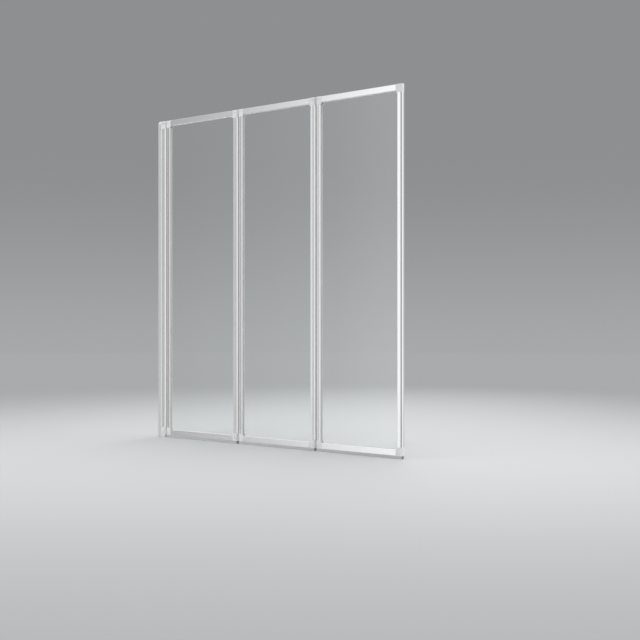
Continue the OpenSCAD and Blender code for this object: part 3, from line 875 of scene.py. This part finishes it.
def seal_loop():
    """The seal's section as one outline: y across, z up from its tip."""
    top, under = SEAL_H, SEAL_H - SEAL_T
    wall = SEAL_HALF - SEAL_T
    curl = SEAL_H / 2
    back = SEAL_HALF - curl
    neck, bead = top + NECK_H + FIT, top + NECK_H + BEAD_H - FIT
    points = [(-SEAL_HALF, TIP_CUT)]
    points += [(TIP_CUT - SEAL_HALF, 0.0), (TIP_T - SEAL_HALF, 0.0)]
    points += [(-wall, SKIRT_Z), (-wall, under - WALL_FILLET)]
    points += [(WALL_FILLET - wall, under), (-SEAL_T / 2 - MIDDLE_FILLET, under)]
    points += [(-SEAL_T / 2, under - MIDDLE_FILLET), (-TIP_T / 2, MIDDLE_Z)]
    points += [(TIP_T / 2, MIDDLE_Z), (SEAL_T / 2, under - MIDDLE_FILLET)]
    points += [(SEAL_T / 2 + MIDDLE_FILLET, under), (wall - WALL_FILLET, under)]
    points += [(wall, under - WALL_FILLET)]
    points += arc(back, curl, curl - SEAL_T, 0, CURL_IN, steps=12)
    points += arc(back, curl, curl, CURL_OUT, 0, steps=14)
    points += [(SEAL_HALF, top - EDGE_CUT), (SEAL_HALF - EDGE_CUT, top)]
    tee = [(NECK_HALF, top), (NECK_HALF, neck), (BEAD_HALF, neck), (BEAD_HALF, bead)]
    points += tee + [(-y, z) for y, z in reversed(tee)]
    points += [(EDGE_CUT - SEAL_HALF, top), (-SEAL_HALF, top - EDGE_CUT)]
    return points


for body in PANELS:
    low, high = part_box(f"{body}_bottom_seal")
    seal = run_section(
        f"{body}_rim_seal", [seal_loop()], low.x / MM, high.x / MM, ALONG
    )
    place(seal, body, seal_grey, f"{body}_bottom_seal")
    print(body, "seal", round((high.x - low.x) / MM, 1), "mm long")

# %% [markdown]
# The joint strip is a thin band that stands in the valley between two noses, where it
# stops water and light. Smooth, it would look like a sheet of card, so it gets the low
# ribs that such a strip has on both sides.

# %% Joint strips
RIBS = 5
BASE = 0.72                         # this thick between the ribs, as a share
RIB_FIELD = 0.72                    # the ribs cover this share of its width
RIB_FOOT, RIB_TOP = 0.5, 0.25       # half a rib's width, at its foot and on top


def strip_loop(x, half_t, half_w):
    """A thin band across the joint with rounded ends and low ribs on both sides."""
    base = half_t * BASE
    step = half_w * RIB_FIELD * 2 / (RIBS - 1)
    side = []
    for i in range(RIBS):
        y = -half_w * RIB_FIELD + i * step
        side += [
            (base, y - RIB_FOOT), (half_t, y - RIB_TOP),
            (half_t, y + RIB_TOP), (base, y + RIB_FOOT),
        ]
    head = arc(0, half_w - base, base, 0, 180, steps=8)
    tail = arc(0, base - half_w, base, 180, 360, steps=8)
    loop = side + head + [(-a, b) for a, b in reversed(side)] + tail
    return [(x + a, b) for a, b in loop]


for k in range(3):
    low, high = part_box(f"joint_strip_{k}")
    valley_x = (low.x + high.x) / 2 / MM
    loop = strip_loop(valley_x, (high.x - low.x) / 2 / MM, high.y / MM)
    strip = run_section(f"joint_band_{k}", [loop], low.z / MM, high.z / MM, UPRIGHT)
    place(strip, f"link_{k}", strip_grey, f"joint_strip_{k}")

# %% [markdown]
# ## Floor and light
# The screen stands on a plain pale disc. Towards its edge the disc turns into the
# colour of the backdrop, which darkens softly upward, so that no hard horizon shows
# behind the panes and the pale frame stands out. Metal is seen by what it mirrors, so
# the world has a second face for mirrored rays: a soft ring of lighter and darker zones
# round the object. A ray that has only passed through glass also counts as glossy, but
# its glossy depth is still 0; the lower of the two values picks out the rays that a
# surface really mirrored. For those the floor is almost clear, and wholly so at its
# edge, which would otherwise show in the panes as a line.

# %% Floor
PALE = (0.66, 0.665, 0.67)             # the floor, and the light from above
LOW_BACKDROP = (0.40, 0.405, 0.41)     # where the backdrop meets the floor
HIGH_BACKDROP = (0.27, 0.275, 0.28)    # above the screen
FLOOR_R, FLOOR_SIDES = 12.0, 96
FLOOR_PLACE = (0.63, 0, -0.0004)       # a hair below the seals
bm = bmesh.new()
bmesh.ops.create_circle(bm, cap_ends=True, segments=FLOOR_SIDES, radius=FLOOR_R)
floor = bpy.data.objects.new("floor", mesh_of("floor", bm))
bpy.context.scene.collection.objects.link(floor)
floor.location = FLOOR_PLACE
print("floor of", FLOOR_R * 2, "m across")

# %% Floor paint
FADE = (0.5, 4.2)               # the floor turns into the backdrop between these
MIRRORED_CLEAR = (0.8, 1.0)     # how clear it is to mirrored rays, near and far


def mirrored_share(tree, rays):
    """1 for a ray that a surface has mirrored, 0 for all others."""
    return calculate(
        tree, "MINIMUM", rays["Is Glossy Ray"], rays["Glossy Depth"], clamp=True
    )


floor_paint, tree, shader = new_material(
    "floor_paint", Base_Color=PALE, Roughness=0.8, Specular_IOR_Level=0.2
)
floor.data.materials.append(floor_paint)
distance = add_node(
    tree, "ShaderNodeVectorMath", object_space(tree), operation="LENGTH"
).outputs["Value"]
fade = rescale(tree, distance, given=FADE, soft=True)
glow = add_node(tree, "ShaderNodeEmission", Color=LOW_BACKDROP).outputs[0]
painted = blend_shaders(tree, fade, shader.outputs[0], glow)
mirrored = mirrored_share(tree, add_node(tree, "ShaderNodeLightPath").outputs)
unseen = calculate(
    tree, "MULTIPLY", mirrored, rescale(tree, fade, wanted=MIRRORED_CLEAR)
)
clear = add_node(tree, "ShaderNodeBsdfTransparent").outputs[0]
feed_named(tree, tree.nodes["Material Output"], {
    "Surface": blend_shaders(tree, unseen, painted, clear),
})
print("the floor turns into the backdrop at", FADE, "m from its middle")

# %% World: a soft ring of lighter and darker zones
STUDIO_PEAK = 1.8
STUDIO_RING = {        # degrees from the front towards the right: brightness
    -180: 0.80, -150: 0.85, -110: 1.18, -75: 1.00, -60: 0.60, -50: 0.40, -45: 0.43,
    -41: 0.62, -36.5: 0.88, -31.5: 1.42, -28: 1.40, -24: 0.80, -18: 0.62, -8: 0.60,
    5: 0.66, 18: 0.72, 32: 0.88, 48: 1.12, 65: 1.12, 90: 1.00, 115: 1.00, 137: 0.56,
    160: 0.60, 180: 0.80,
}
COOL = 0.005                # the ring is this much cooler than grey
OVERHEAD = (0.25, 0.8)      # the ring turns into the light from above at this height


def background(tree, colour, strength):
    """A background shader of that colour and strength."""
    made = add_node(tree, "ShaderNodeBackground", Color=colour, Strength=strength)
    return made.outputs[0]


world = bpy.data.worlds.new("pale studio")
bpy.context.scene.world = world
world.use_nodes = True
tree = world.node_tree
tree.nodes.clear()
generated = add_node(tree, "ShaderNodeTexCoord").outputs["Generated"]
toward = add_node(tree, "ShaderNodeSeparateXYZ", generated).outputs
front = calculate(tree, "MULTIPLY", toward["Y"], -1.0)
turn = calculate(tree, "ARCTAN2", toward["X"], front)
ring = add_node(
    tree, "ShaderNodeValToRGB", rescale(tree, turn, given=(-math.pi, math.pi))
)
ring.color_ramp.interpolation = "EASE"
stops = ring.color_ramp.elements
while len(stops) < len(STUDIO_RING):
    stops.new(0.5)
for stop, (degrees, value) in zip(stops, STUDIO_RING.items()):
    level = value / STUDIO_PEAK
    stop.position = (degrees + 180) / 360
    stop.color = (level * (1 - COOL), level, level * (1 + COOL), 1)
above = rescale(tree, toward["Z"], given=OVERHEAD, soft=True)
sky = blend(tree, "RGBA", above, ring.outputs["Color"], PALE)
studio = background(tree, sky, STUDIO_PEAK)
print("studio zones:", len(stops))

# %% World: the backdrop, and which face a ray sees
HORIZON = (-0.07, 0.16)     # the backdrop darkens between these heights
AMBIENT, AMBIENT_LEVEL = (0.62, 0.63, 0.64), 0.75
rise = rescale(tree, toward["Z"], given=HORIZON, soft=True)
sweep = blend(tree, "RGBA", rise, LOW_BACKDROP, HIGH_BACKDROP)
rays = add_node(tree, "ShaderNodeLightPath").outputs
direct = calculate(tree, "MAXIMUM", rays["Is Camera Ray"], rays["Is Transmission Ray"])
shown = blend_shaders(
    tree, direct, background(tree, AMBIENT, AMBIENT_LEVEL), background(tree, sweep, 1.0)
)
seen = blend_shaders(tree, mirrored_share(tree, rays), shown, studio)
add_node(tree, "ShaderNodeOutputWorld", seen)
print("world of", len(tree.nodes), "nodes")

# %% [markdown]
# Dull surfaces need lamps as well. A lamp that mirrors as a hard rectangle in a pane
# would spoil it, so four large soft panels light the dull surfaces alone: they are left
# out of what gloss and glass show.

# %% Lamps for the dull surfaces
AIM = Vector((0.63, 0, 0.7))        # the middle of the screen


def soft_panel(name, location, size, watts):
    """A large area lamp that faces the screen and shows in no gloss or glass."""
    lamp = bpy.data.lights.new(name, "AREA")
    lamp.shape = "RECTANGLE"
    lamp.size, lamp.size_y = size
    lamp.energy = watts
    holder = bpy.data.objects.new(name, lamp)
    bpy.context.scene.collection.objects.link(holder)
    holder.location = location
    toward_screen = AIM - Vector(location)
    holder.rotation_euler = toward_screen.to_track_quat("-Z", "Y").to_euler()
    holder.visible_glossy = False
    holder.visible_transmission = False


soft_panel("front_left_panel", location=(-0.9, -3.6, 1.5), size=(1.6, 3.2), watts=70)
soft_panel("right_panel", location=(4.4, 0.6, 1.6), size=(2.0, 3.0), watts=60)
soft_panel("top_panel", location=(0.8, 0.3, 4.2), size=(3.5, 3.0), watts=60)
soft_panel("back_panel", location=(-0.6, 3.8, 1.8), size=(2.4, 3.0), watts=45)
